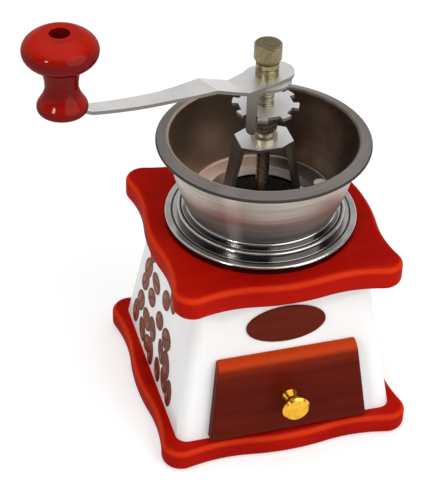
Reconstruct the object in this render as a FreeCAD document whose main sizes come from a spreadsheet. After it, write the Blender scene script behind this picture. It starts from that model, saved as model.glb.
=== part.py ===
"""Hand coffee mill with a tapered glazed body, a steel hopper and a crank.

Millimetres. The origin is the middle of the base plate's underside, +Z is up and the drawer
faces -Y. The crank turns about the Z axis.
"""
import FreeCAD, Part
import os
import re
import Sketcher

doc = FreeCAD.newDocument("coffee_mill")
sheet = doc.addObject("Spreadsheet::Sheet", "dims")

SIZES = {
    # wavy wooden plates
    "base_half": 65.0,
    "base_thick": 12.5,
    "base_corner": 10.0,
    "base_dip": 2.6,
    "base_dip_at": 33.0,
    "top_half": 58.0,
    "top_thick": 13.4,
    "top_corner": 9.5,
    "top_dip": 2.6,
    "top_dip_at": 29.0,
    "plate_round": 3.5,
    # glazed body
    "body_height": 78.6,
    "body_foot": 57.0,
    "body_head": 44.5,
    "body_corner": 6.0,
    "body_wall": 5.0,
    # tie bolts between the plates
    "tie_at": 36.5,
    "tie_radius": 2.0,
    "tie_head_radius": 4.0,
    "tie_head_height": 3.0,
    "tie_grip": 6.0,
    # drawer
    "drawer_half": 33.0,
    "drawer_back_at": 40.0,
    "drawer_side_height": 34.0,
    "drawer_board": 3.0,
    "drawer_gap": 0.3,
    "front_lift": 2.3,
    "front_height": 43.0,
    "front_thick": 5.2,
    "front_foot": 41.4,
    "front_head": 36.2,
    "front_round": 4.6,
    "front_edge": 1.4,
    "front_side_inset": 2.2,
    "front_side_depth": 3.6,
    "guide_width": 2.6,
    "guide_height": 12.0,
    "guide_length": 60.0,
    "pull_height": 20.3,
    "pull_radius": 7.1,
    "pull_length": 13.0,
    "pull_neck": 2.7,
    "pull_base": 4.2,
    "pull_screw_radius": 1.6,
    "pull_screw_bite": 7.0,
    # oval plaque
    "plaque_half_width": 20.5,
    "plaque_half_height": 9.8,
    "plaque_thick": 1.2,
    "plaque_height": 59.8,
    # stepped collar under the hopper
    "collar_radius": 48.4,
    "collar_rise": 4.0,
    "collar_step": 42.2,
    "collar_step_rise": 3.6,
    "collar_crown": 38.2,
    "collar_crown_rise": 2.6,
    "collar_bore": 29.0,
    "collar_sheet": 1.0,
    "collar_round": 1.0,
    # hopper bowl
    "bowl_foot": 38.6,
    "bowl_foot_round": 2.5,
    "bowl_neck": 47.6,
    "bowl_height": 38.3,
    "bowl_sheet": 1.2,
    "bowl_bulge": 110.0,
    "rim_radius": 53.2,
    "rim_drop": 1.7,
    "rim_thick": 1.9,
    "floor_seat": 28.0,
    "floor_drop": 3.0,
    "throat_lip": 1.3,
    "throat_radius": "=housing_radius - throat_lip",
    # bridge over the throat
    "bridge_height": 35.3,
    "bridge_sheet": 1.5,
    "bridge_half": 13.3,
    "bridge_bulge": 10.5,
    "bridge_leg_width": 12.5,
    "bridge_foot_in": 17.5,
    "bridge_foot_out": 35.0,
    "screw_at": 31.0,
    "screw_radius": 1.6,
    "screw_head_radius": 3.4,
    "screw_head_height": 2.0,
    "screw_bite": 7.0,
    # bush and spindle
    "bush_radius": 6.6,
    "bush_flange_height": 5.0,
    "bush_body": 5.2,
    "bush_drop": 1.5,
    "spindle_radius": 4.0,
    "spindle_waist": 3.3,
    "spindle_tail": 2.7,
    "spindle_square": 5.4,
    "run_fit": 0.06,
    "seat_gap": 0.3,
    # burr set
    "housing_flange": 34.5,
    "housing_flange_thick": 3.0,
    "housing_radius": 25.7,
    "housing_wall": 3.1,
    "housing_fit": 0.3,
    "housing_drop": 24.0,
    "mouth_radius": 17.0,
    "ring_outer": "=housing_radius - housing_wall",
    "ring_wall": 1.4,
    "ring_height": 20.0,
    "ring_top": 14.0,
    "ring_bottom": "=ring_outer - ring_tooth - ring_wall",
    "ring_tooth": 1.2,
    "ring_teeth": 18,
    "burr_height": 21.0,
    "burr_top": 7.0,
    "burr_gap": 1.0,
    "burr_tooth": 1.6,
    "burr_teeth": 12,
    "burr_twist": 24.0,
    "burr_washer_radius": 8.0,
    "burr_washer_thick": 1.2,
    "burr_nut_flats": 9.0,
    "burr_nut_height": 4.0,
    # grind adjuster
    "hub_radius": 6.2,
    "hub_height": 13.0,
    "wheel_tip": 16.2,
    "wheel_root": 13.0,
    "wheel_notch": 6.0,
    "wheel_notches": 8,
    "wheel_sheet": 1.6,
    "thread_show": 12.7,
    "clip_radius": 12.0,
    "clip_sheet": 1.5,
    "clip_tab_width": 5.2,
    "clip_tab_at": 14.2,
    "clip_tab_drop": 23.0,
    "clip_angle": 225.0,
    # crank
    "crank_angle": 205.0,
    "crank_length": 119.0,
    "arm_sheet": 1.8,
    "arm_tail": 15.0,
    "arm_hub_half": 9.0,
    "arm_bend": 18.0,
    "arm_bend_half": 7.6,
    "arm_shoulder": 37.0,
    "arm_shoulder_half": 7.0,
    "arm_shoulder_rise": 8.6,
    "arm_slim_at": 62.0,
    "arm_slim_half": 4.8,
    "arm_sag": 350.0,
    "arm_end": 13.0,
    "arm_end_rise": 14.8,
    "arm_pad": 7.5,
    "arm_pad_half": 4.0,
    "arm_pad_rise": 17.9,
    "arm_eye": 5.5,
    # cap nut
    "cap_neck": 5.65,
    "cap_neck_height": 8.2,
    "cap_groove": 4.9,
    "cap_radius": 6.75,
    "cap_height": 8.8,
    "cap_thread": 2.6,
    "cap_thread_depth": 12.0,
    # turned knob on its pin
    "knob_washer_radius": 5.5,
    "knob_washer_thick": 0.6,
    "knob_radius": 16.5,
    "knob_head_half": 9.4,
    "knob_head_at": 29.4,
    "knob_under": -57.0,
    "knob_crown": 58.0,
    "knob_neck": 7.2,
    "knob_neck_at": 12.0,
    "knob_base": 11.1,
    "knob_bead_at": 2.1,
    "knob_hole": 4.5,
    "knob_hole_depth": 14.0,
    "pin_radius": 2.6,
    "pin_head_radius": 4.0,
    "pin_head_height": 2.4,
    "pin_rivet_radius": 3.4,
    "pin_rivet_height": 0.8,
}
for row, (alias, value) in enumerate(SIZES.items(), 1):
    sheet.set(f"A{row}", alias)
    sheet.set(f"B{row}", str(value))
    sheet.setAlias(f"B{row}", alias)
doc.recompute()

BASE_TOP = "base_thick"
BODY_TOP = "(base_thick + body_height)"
DECK = f"({BODY_TOP} + top_thick)"
COLLAR_LOW = f"({DECK} + collar_rise)"
COLLAR_MID = f"({COLLAR_LOW} + collar_step_rise)"
BOWL_SEAT = f"({COLLAR_MID} + collar_crown_rise)"
FLOOR = f"({BOWL_SEAT} + bowl_sheet)"
RIM = f"({BOWL_SEAT} + bowl_height)"
BRIDGE = f"({BOWL_SEAT} + bridge_height)"
BRIDGE_TOP = f"({BRIDGE} + bridge_sheet)"
BUSH_TOP = f"({BRIDGE_TOP} + bush_flange_height)"
HUB = f"({BUSH_TOP} + seat_gap)"
WHEEL = f"({HUB} + hub_height)"
CLIP = f"({WHEEL} + wheel_sheet + thread_show)"
ARM = f"({CLIP} + clip_sheet)"
ARM_TOP = f"({ARM} + arm_sheet)"
PAD = f"({ARM} + arm_shoulder_rise + arm_pad_rise)"
PAD_TOP = f"({PAD} + arm_sheet)"
KNOB = f"({PAD_TOP} + knob_washer_thick + seat_gap)"
HOUSING_LOW = f"({DECK} - housing_drop)"
RING_TOP = f"({HOUSING_LOW} + ring_height)"
BURR_TOP = f"({HOUSING_LOW} + burr_height)"
FRONT_LOW = f"({BASE_TOP} + front_lift)"
FRONT_HIGH = f"({FRONT_LOW} + front_height)"
BOX_LOW = f"({BASE_TOP} + drawer_gap)"
BOX_HIGH = f"({BOX_LOW} + drawer_side_height)"
PULL = f"({FRONT_LOW} + pull_height)"
SLOPE = "((body_foot - body_head) / body_height)"


def bound(text):
    """The expression with every size name pointing at the sheet."""
    return re.sub(r"[a-z_]+", lambda m: "dims." + m[0] if m[0] in SIZES else m[0], str(text))


def size(text):
    """Value of an expression over the sheet."""
    return float(sheet.evalExpression(bound(text)))


def face_y(height):
    """Where the body's front face stands at a height."""
    return f"(-(body_foot - ({height} - base_thick) * {SLOPE}))"


def new_body(name):
    body = doc.addObject("PartDesign::Body", name)
    body.Label = name
    return body


def new_sketch(body, name, role):
    sketch = body.newObject("Sketcher::SketchObject", name)
    plane = next(part for part in body.Origin.OriginFeatures if part.Role == role)
    sketch.AttachmentSupport = [(plane, "")]
    sketch.MapMode = "FlatFace"
    return sketch


def raise_sketch(sketch, offset):
    """Move a sketch off its plane, along the plane's normal."""
    sketch.setExpression("AttachmentOffset.Base.z", bound(offset))
    doc.recompute()


def hold(sketch, kind, value, *places):
    """One driving measure of a sketch, bound to the sheet."""
    index = sketch.addConstraint(Sketcher.Constraint(kind, *places, size(value)))
    sketch.setExpression(f"Constraints[{index}]", bound(value))


def add_arc(sketch, start, end, radius):
    """Arc from start to end, to the left of the chord for a negative radius."""
    chord = end - start
    rise = (radius * radius - chord.Length ** 2 / 4) ** 0.5
    side = FreeCAD.Vector(-chord.y, chord.x, 0).normalize() * (1 if radius > 0 else -1)
    centre = (start + end) * 0.5 + side * rise
    middle = centre + ((start + end) * 0.5 - centre).normalize() * abs(radius)
    curve = Part.Arc(start, middle, end)
    return sketch.addGeometry(curve)


def draw(sketch, corners):
    """Closed outline through corners given as expressions.

    A third entry is the radius of the arc that leads to that corner: positive turns left
    on the way, negative turns right.
    """
    points = [FreeCAD.Vector(size(c[0]), size(c[1]), 0) for c in corners]
    first = sketch.GeometryCount
    ends = []
    for i, corner in enumerate(corners):
        start, end = points[i - 1], points[i]
        if len(corner) == 2:
            sketch.addGeometry(Part.LineSegment(start, end))
            ends.append((1, 2))
        else:
            add_arc(sketch, start, end, size(corner[2]))
            ends.append((1, 2) if size(corner[2]) > 0 else (2, 1))
    count = len(corners)
    for i in range(count):
        after = (i + 1) % count
        sketch.addConstraint(
            Sketcher.Constraint("Coincident", first + i, ends[i][1], first + after, ends[after][0]))
    for i, corner in enumerate(corners):
        hold(sketch, "DistanceX", corner[0], -1, 1, first + i, ends[i][1])
        hold(sketch, "DistanceY", corner[1], -1, 1, first + i, ends[i][1])
        if len(corner) == 3:
            hold(sketch, "Radius", f"abs({corner[2]})", first + i)


def draw_circle(sketch, x, y, radius):
    centre = FreeCAD.Vector(size(x), size(y), 0)
    index = sketch.addGeometry(Part.Circle(centre, FreeCAD.Vector(0, 0, 1), size(radius)))
    hold(sketch, "DistanceX", x, -1, 1, index, 3)
    hold(sketch, "DistanceY", y, -1, 1, index, 3)
    hold(sketch, "Radius", radius, index)


def draw_box(sketch, low_x, low_y, high_x, high_y):
    draw(sketch, [(low_x, low_y), (high_x, low_y), (high_x, high_y), (low_x, high_y)])


def pad(body, sketch, length, name, symmetric=False):
    feature = body.newObject("PartDesign::Pad", name)
    feature.Profile = sketch
    feature.SideType = "Symmetric" if symmetric else "One side"
    feature.setExpression("Length", bound(length))
    doc.recompute()
    return feature


def cut(body, sketch, name, length=None, upward=False, along=None):
    """Pocket through everything, or to a length on one side of its sketch."""
    before = body.Shape.Volume
    feature = body.newObject("PartDesign::Pocket", name)
    feature.Profile = sketch
    if along is not None:
        feature.UseCustomVector = True
        for axis, part in zip("xyz", along):
            feature.setExpression(f"Direction.{axis}", bound(part))
    if length is None:
        feature.SideType = "Symmetric"
        feature.Type = "ThroughAll"
    else:
        feature.Reversed = upward
        feature.setExpression("Length", bound(length))
    doc.recompute()
    if body.Shape.Volume >= before - 1e-6:
        raise RuntimeError(f"{body.Label}: {name} removes nothing")
    return feature


def round_edges(body, radius, chosen, name):
    """Fillet the edges for which chosen(edge) holds."""
    base = body.Tip
    edges = [f"Edge{i}" for i, edge in enumerate(base.Shape.Edges, 1) if chosen(edge)]
    feature = body.newObject("PartDesign::Fillet", name)
    feature.Base = (base, edges)
    feature.setExpression("Radius", bound(radius))
    doc.recompute()
    return feature


def turned(name, corners):
    """A piece turned about Z from an outline of radius and height."""
    body = new_body(name)
    sketch = new_sketch(body, name + "_outline", "XZ_Plane")
    draw(sketch, corners)
    feature = body.newObject("PartDesign::Revolution", name + "_turn")
    feature.Profile = sketch
    feature.ReferenceAxis = (sketch, ["V_Axis"])
    feature.Angle = 360
    doc.recompute()
    return body


def dome(radius, rise):
    """Radius of the arc that rises to the axis from a rim."""
    return f"((({radius})^2 + ({rise})^2) / (2 * {rise}))"


def flat(edge, height):
    """Whether an edge lies wholly at a height."""
    box = edge.BoundBox
    return abs(box.ZMin - height) < 1e-4 and abs(box.ZMax - height) < 1e-4


def place(body, x="0", y="0", z="0", turn="0", axis=(0, 0, 1)):
    body.Placement = FreeCAD.Placement(
        FreeCAD.Vector(0, 0, 0), FreeCAD.Rotation(FreeCAD.Vector(*axis), size(turn)))
    body.setExpression("Placement.Base.x", bound(x))
    body.setExpression("Placement.Base.y", bound(y))
    body.setExpression("Placement.Base.z", bound(z))
    if axis == (0, 0, 1):
        body.setExpression("Placement.Rotation.Angle", bound(turn))
    doc.recompute()


def wavy_outline(half, corner, dip, dip_at):
    """Square with round lobes at its corners and a shallow dip each side of every middle.

    Each side runs lobe, dip, middle swell, dip, lobe, all arcs tangent to the next.
    """
    reach = f"({half} - {corner})"
    hollow = f"((({reach} - {dip_at})^2 + {dip}^2) / (2 * {dip}) - {corner})"
    swell = f"(({dip_at}^2 + {dip}^2) / (2 * {dip}) - {hollow})"
    near = f"({dip_at} * {swell} / ({swell} + {hollow}))"
    near_out = f"({half} - {dip} * {swell} / ({swell} + {hollow}))"
    far = f"({reach} - ({reach} - {dip_at}) * {corner} / ({corner} + {hollow}))"
    far_out = f"({half} - {dip} * {corner} / ({corner} + {hollow}))"
    side = [(f"-{near}", near_out, None), (near, near_out, swell),
            (far, far_out, f"-{hollow}"), (far_out, far, corner)]
    corners = []
    for quarter in range(4):
        for along, out, radius in side:
            x, y = along, f"-{out}"
            for _ in range(quarter):
                x, y = f"-({y})", x
            corners.append((x, y, radius or f"-{hollow}"))
    return corners


def wavy_plate(name, low, thick, half, corner, dip, dip_at):
    body = new_body(name)
    sketch = new_sketch(body, name + "_outline", "XY_Plane")
    raise_sketch(sketch, low)
    draw(sketch, wavy_outline(half, corner, dip, dip_at))
    pad(body, sketch, thick, name + "_board")
    levels = (size(low), size(f"{low} + {thick}"))
    round_edges(body, "plate_round", lambda e: any(flat(e, z) for z in levels), name + "_soft_edge")
    return body


def rounded_square(half, corner):
    inner = f"({half} - ({corner}))"
    edge = f"-({half})"
    corners = []
    for quarter in range(4):
        for x, y, radius in ((f"-{inner}", edge, corner), (inner, edge, None)):
            for _ in range(quarter):
                x, y = f"-({y})", x
            corners.append((x, y, radius) if radius else (x, y))
    return corners


def loft(body, name, kind, sketches):
    feature = body.newObject(kind, name)
    feature.Profile = sketches[0]
    feature.Sections = sketches[1:]
    feature.Ruled = True
    doc.recompute()
    return feature


TIES = [(x, y) for x in ("-tie_at", "tie_at") for y in ("-tie_at", "tie_at")]
SCREWS = ["-screw_at", "screw_at"]


def base_plate():
    body = wavy_plate("base_plate", "0", "base_thick", "base_half", "base_corner", "base_dip",
                      "base_dip_at")
    holes = new_sketch(body, "base_tie_holes", "XY_Plane")
    heads = new_sketch(body, "base_tie_heads", "XY_Plane")
    for x, y in TIES:
        draw_circle(holes, x, y, "tie_radius")
        draw_circle(heads, x, y, "tie_head_radius")
    cut(body, holes, "base_tie_bores")
    cut(body, heads, "base_tie_sinks", "tie_head_height + seat_gap", upward=True)


def top_plate():
    body = wavy_plate("top_plate", BODY_TOP, "top_thick", "top_half", "top_corner", "top_dip",
                      "top_dip_at")
    middle = new_sketch(body, "top_bore", "XY_Plane")
    draw_circle(middle, "0", "0", "housing_radius + housing_fit")
    cut(body, middle, "top_housing_bore")
    ties = new_sketch(body, "top_tie_holes", "XY_Plane")
    raise_sketch(ties, BODY_TOP)
    for x, y in TIES:
        draw_circle(ties, x, y, "tie_radius")
    cut(body, ties, "top_tie_bores", "tie_grip", upward=True)
    pilots = new_sketch(body, "top_screw_holes", "XY_Plane")
    raise_sketch(pilots, DECK)
    for x in SCREWS:
        draw_circle(pilots, x, "0", "screw_radius")
    cut(body, pilots, "top_screw_pilots", "screw_bite")


def ceramic_body():
    body = new_body("ceramic_body")
    outside = []
    inside = []
    roof = f"({BODY_TOP} - body_wall)"
    for label, height, half in (("foot", BASE_TOP, "body_foot"), ("head", BODY_TOP, "body_head")):
        sketch = new_sketch(body, "body_" + label, "XY_Plane")
        raise_sketch(sketch, height)
        draw(sketch, rounded_square(half, "body_corner"))
        outside.append(sketch)
    loft(body, "body_shape", "PartDesign::AdditiveLoft", outside)
    roof_half = f"(body_head + body_wall * {SLOPE} - body_wall)"
    for label, height, half in (("floor", BASE_TOP, "body_foot - body_wall"), ("roof", roof, roof_half)):
        sketch = new_sketch(body, "hollow_" + label, "XY_Plane")
        raise_sketch(sketch, height)
        draw(sketch, rounded_square(half, "body_corner / 2"))
        inside.append(sketch)
    loft(body, "body_hollow", "PartDesign::SubtractiveLoft", inside)
    doorway = new_sketch(body, "body_doorway", "XZ_Plane")
    reach = "(drawer_half + 2 * drawer_gap)"
    draw_box(doorway, f"-{reach}", BASE_TOP, reach, f"{BOX_HIGH} + 2 * drawer_gap")
    cut(body, doorway, "body_drawer_way", "body_foot", upward=True)
    chute = new_sketch(body, "body_chute", "XY_Plane")
    raise_sketch(chute, roof)
    draw_circle(chute, "0", "0", "housing_radius + body_wall")
    for x, y in TIES:
        draw_circle(chute, x, y, "tie_radius + drawer_gap")
    cut(body, chute, "body_roof_holes", "body_wall", upward=True)


def fasteners(name, shapes):
    """Like fasteners that share one node, each built from primitives."""
    group = doc.addObject("Part::Compound", name)
    group.Label = name
    group.Links = shapes
    doc.recompute()


def cylinder(name, radius, height, x, y, z):
    shape = doc.addObject("Part::Cylinder", name)
    shape.setExpression("Radius", bound(radius))
    shape.setExpression("Height", bound(height))
    shape.setExpression("Placement.Base.x", bound(x))
    shape.setExpression("Placement.Base.y", bound(y))
    shape.setExpression("Placement.Base.z", bound(z))
    doc.recompute()
    return shape


def fused(name, pieces):
    shape = doc.addObject("Part::MultiFuse", name)
    shape.Shapes = pieces
    shape.Refine = True
    doc.recompute()
    return shape


def tie_bolts():
    bolts = []
    for i, (x, y) in enumerate(TIES):
        head = cylinder(f"tie_head_{i}", "tie_head_radius - seat_gap", "tie_head_height", x, y, "seat_gap")
        shank_length = f"{BODY_TOP} + tie_grip - seat_gap - tie_head_height"
        shank = cylinder(f"tie_shank_{i}", "tie_radius", shank_length, x, y, "seat_gap + tie_head_height")
        bolts.append(fused(f"tie_bolt_{i}", [head, shank]))
    fasteners("tie_bolts", bolts)


def collar():
    rings = [("collar_radius", COLLAR_LOW), ("collar_step", COLLAR_MID), ("collar_crown", BOWL_SEAT)]
    corners = [("collar_radius", DECK)]
    for i, (radius, height) in enumerate(rings):
        if i:
            corners.append((radius, rings[i - 1][1]))
        corners.append((radius, f"{height} - collar_round"))
        corners.append((f"{radius} - collar_round", height, "collar_round"))
    corners.append(("collar_bore", BOWL_SEAT))
    corners.append(("collar_bore", f"{BOWL_SEAT} - collar_sheet"))
    for i in (2, 1, 0):
        radius, height = rings[i]
        corners.append((f"{radius} - collar_sheet", f"{height} - collar_sheet"))
        below = f"{rings[i - 1][1]} - collar_sheet" if i else DECK
        corners.append((f"{radius} - collar_sheet", below))
    body = turned("hopper_collar", corners)
    holes = new_sketch(body, "collar_screw_holes", "XY_Plane")
    for x in SCREWS:
        draw_circle(holes, x, "0", "screw_radius")
    cut(body, holes, "collar_screw_bores")


def bowl():
    lip_low = f"({RIM} - rim_drop - rim_thick)"
    body = turned("hopper_bowl", [
        ("floor_seat", BOWL_SEAT),
        ("bowl_foot - bowl_foot_round", BOWL_SEAT),
        ("bowl_foot", f"{BOWL_SEAT} + bowl_foot_round", "bowl_foot_round"),
        ("bowl_neck", f"{RIM} - rim_thick", "bowl_bulge"),
        ("rim_radius - rim_thick / 2", lip_low),
        ("rim_radius - rim_thick / 2", f"{RIM} - rim_drop", "rim_thick / 2 + 0.01"),
        ("bowl_neck", RIM),
        ("bowl_neck - bowl_sheet", f"{RIM} - bowl_sheet", "bowl_sheet + 0.01"),
        ("bowl_foot - bowl_sheet", f"{BOWL_SEAT} + bowl_foot_round", "-(bowl_bulge - bowl_sheet)"),
        ("bowl_foot - bowl_foot_round", f"{BOWL_SEAT} + bowl_sheet",
         "-(bowl_foot_round - bowl_sheet + 0.05)"),
        ("floor_seat", f"{BOWL_SEAT} + bowl_sheet"),
        ("throat_radius", f"{BOWL_SEAT} + bowl_sheet - floor_drop"),
        ("throat_radius", f"{BOWL_SEAT} - floor_drop"),
    ])
    holes = new_sketch(body, "bowl_screw_holes", "XY_Plane")
    for x in SCREWS:
        draw_circle(holes, x, "0", "screw_radius")
    cut(body, holes, "bowl_screw_bores")
    return body


def bridge():
    body = new_body("bridge_bracket")
    sketch = new_sketch(body, "bridge_side", "XZ_Plane")
    wide = "(bridge_leg_width / 2)"
    outer = [("bridge_half", BRIDGE_TOP),
             ("bridge_foot_in + bridge_sheet", f"{FLOOR} + bridge_sheet"),
             ("bridge_foot_out", f"{FLOOR} + bridge_sheet")]
    inner = [("bridge_foot_out", FLOOR),
             ("bridge_foot_in", FLOOR),
             ("bridge_half - bridge_sheet", BRIDGE)]
    right = outer + inner
    left = [(f"-({x})", z) for x, z in reversed(right)]
    draw(sketch, right + left)
    pad(body, sketch, "2 * bridge_bulge", "bridge_strip", symmetric=True)
    trim = new_sketch(body, "bridge_plan", "XY_Plane")
    bound_out = "(bridge_foot_out + bridge_bulge)"
    draw_box(trim, f"-{bound_out}", f"-{bound_out}", bound_out, bound_out)
    shoulder = "(bridge_half * 0.45)"
    half = [(f"-{shoulder}", "-bridge_bulge"), (shoulder, "-bridge_bulge"),
            ("bridge_half", f"-{wide}"), ("bridge_foot_out", f"-{wide}")]
    other = [(f"-({x})", f"-({y})") for x, y in half]
    draw(trim, half + other)
    cut(body, trim, "bridge_trim")
    holes = new_sketch(body, "bridge_holes", "XY_Plane")
    for x in SCREWS:
        draw_circle(holes, x, "0", "screw_radius")
    draw_circle(holes, "0", "0", "bush_body")
    cut(body, holes, "bridge_bores")


def bush():
    turned("bearing_bush", [
        ("spindle_radius + run_fit", f"{BRIDGE} - bush_drop"),
        ("bush_body", f"{BRIDGE} - bush_drop"),
        ("bush_body", BRIDGE_TOP),
        ("bush_radius", BRIDGE_TOP),
        ("bush_radius", f"{BUSH_TOP} - bush_flange_height * 0.55"),
        ("bush_body", f"{BUSH_TOP} - bush_flange_height * 0.45"),
        ("bush_body", BUSH_TOP),
        ("spindle_radius + run_fit", BUSH_TOP),
    ])


def housing():
    top = f"({BOWL_SEAT} - floor_drop - seat_gap)"
    flange = f"({DECK} + housing_flange_thick)"
    body = turned("burr_housing", [
        ("ring_outer", HOUSING_LOW),
        ("housing_radius", HOUSING_LOW),
        ("housing_radius", DECK),
        ("housing_flange", DECK),
        ("housing_flange", flange),
        ("housing_radius", flange),
        ("housing_radius", top),
        ("throat_radius", top),
        ("mouth_radius", RING_TOP),
        ("ring_outer", RING_TOP),
    ])
    holes = new_sketch(body, "housing_screw_holes", "XY_Plane")
    for x in SCREWS:
        draw_circle(holes, x, "0", "screw_radius")
    cut(body, holes, "housing_screw_bores")


def star(count, tip, root, shift="0"):
    """Outline of a toothed section: tips and roots in turn."""
    corners = []
    for i in range(int(size(count))):
        for radius, part in ((tip, 0), (root, 0.5)):
            angle = f"(({i} + {part}) * 360 / {count} + {shift}) * 1 deg"
            corners.append((f"({radius}) * cos({angle})", f"({radius}) * sin({angle})"))
    return corners


def toothed(body, name, kind, sections):
    sketches = []
    for label, height, corners in sections:
        sketch = new_sketch(body, f"{name}_{label}", "XY_Plane")
        raise_sketch(sketch, height)
        draw(sketch, corners)
        sketches.append(sketch)
    loft(body, name, kind, sketches)


def outer_burr():
    body = turned("outer_burr", [
        ("ring_top / 2", HOUSING_LOW), ("ring_outer", HOUSING_LOW),
        ("ring_outer", RING_TOP), ("ring_top / 2", RING_TOP)])
    toothed(body, "ring_teeth_cut", "PartDesign::SubtractiveLoft", [
        ("low", HOUSING_LOW, star("ring_teeth", "ring_bottom + ring_tooth", "ring_bottom")),
        ("high", RING_TOP, star("ring_teeth", "ring_top + ring_tooth", "ring_top"))])


def inner_burr():
    body = new_body("inner_burr")
    wide = "(ring_bottom - burr_gap)"
    toothed(body, "burr_teeth_form", "PartDesign::AdditiveLoft", [
        ("low", HOUSING_LOW, star("burr_teeth", wide, f"{wide} - burr_tooth")),
        ("high", BURR_TOP, star("burr_teeth", "burr_top", "burr_top - burr_tooth", "burr_twist"))])
    bore = new_sketch(body, "burr_bore", "XY_Plane")
    draw_circle(bore, "0", "0", "spindle_tail")
    cut(body, bore, "burr_spindle_bore")


def flats_outline(count, across, turn="0"):
    """Regular outline with so many flats, a flat facing the turned X axis."""
    radius = f"({across} / 2 / cos(180 deg / {count}))"
    angles = [f"(({i} + 0.5) * 360 / {count} + {turn}) * 1 deg" for i in range(count)]
    return [(f"{radius} * cos({angle})", f"{radius} * sin({angle})") for angle in angles]


BURR_WASHER = f"({HOUSING_LOW} - burr_washer_thick)"
BURR_NUT = f"({BURR_WASHER} - burr_nut_height)"


def burr_fastening():
    turned("burr_washer", [
        ("spindle_tail", BURR_WASHER), ("burr_washer_radius", BURR_WASHER),
        ("burr_washer_radius", HOUSING_LOW), ("spindle_tail", HOUSING_LOW)])
    body = new_body("burr_nut")
    sketch = new_sketch(body, "burr_nut_outline", "XY_Plane")
    raise_sketch(sketch, BURR_NUT)
    draw(sketch, flats_outline(6, "burr_nut_flats"))
    draw_circle(sketch, "0", "0", "spindle_tail")
    pad(body, sketch, "burr_nut_height", "burr_nut_block")


def spindle():
    body = turned("spindle", [
        ("0", f"{BURR_NUT} - 1"), ("spindle_tail", f"{BURR_NUT} - 1"),
        ("spindle_tail", BURR_TOP), ("spindle_waist", BURR_TOP),
        ("spindle_waist", f"{BRIDGE} - bush_drop - 2"), ("spindle_radius", f"{BRIDGE} - bush_drop - 1"),
        ("spindle_radius", CLIP), ("cap_thread", CLIP),
        ("cap_thread", f"{ARM_TOP} + cap_thread_depth - 1"), ("0", f"{ARM_TOP} + cap_thread_depth - 1")])
    key = new_sketch(body, "spindle_key", "XY_Plane")
    raise_sketch(key, CLIP)
    draw(key, flats_outline(4, "spindle_square"))
    pad(body, key, "clip_sheet + arm_sheet - 0.2", "spindle_key_block")
    place(body, turn="crank_angle")


def square_hole(body, name, turn):
    """Hole for the spindle's square, which stands in line with the crank."""
    sketch = new_sketch(body, name, "XY_Plane")
    draw(sketch, flats_outline(4, "spindle_square", turn))
    cut(body, sketch, name + "_cut")


def adjuster():
    turned("adjuster_hub", [
        ("spindle_radius + run_fit", HUB), ("hub_radius - 1", HUB), ("hub_radius", f"{HUB} + 1"),
        ("hub_radius", WHEEL), ("spindle_radius + run_fit", WHEEL)])
    body = new_body("adjusting_wheel")
    disc = new_sketch(body, "wheel_disc", "XY_Plane")
    raise_sketch(disc, WHEEL)
    draw_circle(disc, "0", "0", "wheel_tip")
    draw_circle(disc, "0", "0", "spindle_radius + run_fit")
    pad(body, disc, "wheel_sheet", "wheel_plate")
    notch = new_sketch(body, "wheel_notch_outline", "XY_Plane")
    raise_sketch(notch, WHEEL)
    half = "(wheel_notch / 2)"
    past = "(wheel_tip + 2)"
    draw(notch, [("wheel_root", f"-{half}"), (past, f"-{half} - 1.2"), (past, f"{half} + 1.2"),
                 ("wheel_root", half)])
    first = cut(body, notch, "wheel_notch_cut", "wheel_sheet", upward=True)
    ring = body.newObject("PartDesign::PolarPattern", "wheel_notch_ring")
    ring.Originals = [first]
    ring.Axis = (notch, ["N_Axis"])
    ring.Angle = 360
    ring.setExpression("Occurrences", bound("wheel_notches"))
    body.Tip = ring
    doc.recompute()


def lock_clip():
    body = new_body("lock_clip")
    plate = new_sketch(body, "clip_plate_outline", "XY_Plane")
    raise_sketch(plate, CLIP)
    half = "(clip_tab_width / 2)"
    meet = f"((clip_radius^2 - {half}^2)^0.5)"
    tab_out = "(clip_tab_at + clip_sheet / 2)"
    draw(plate, [(tab_out, f"-{half}"), (tab_out, half), (meet, half), ("-clip_radius", "0", "clip_radius"),
                 (meet, f"-{half}", "clip_radius")])
    pad(body, plate, "clip_sheet", "clip_plate")
    tab = new_sketch(body, "clip_tab_outline", "YZ_Plane")
    raise_sketch(tab, "clip_tab_at - clip_sheet / 2")
    foot = f"({CLIP} - clip_tab_drop)"
    draw(tab, [(f"-{half}", f"{foot} + {half}"), (half, f"{foot} + {half}", f"{half} + 0.01"), (half, CLIP),
               (f"-{half}", CLIP)])
    pad(body, tab, "clip_sheet", "clip_tab")
    square_hole(body, "clip_square", "(crank_angle - clip_angle)")
    place(body, turn="clip_angle")


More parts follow.
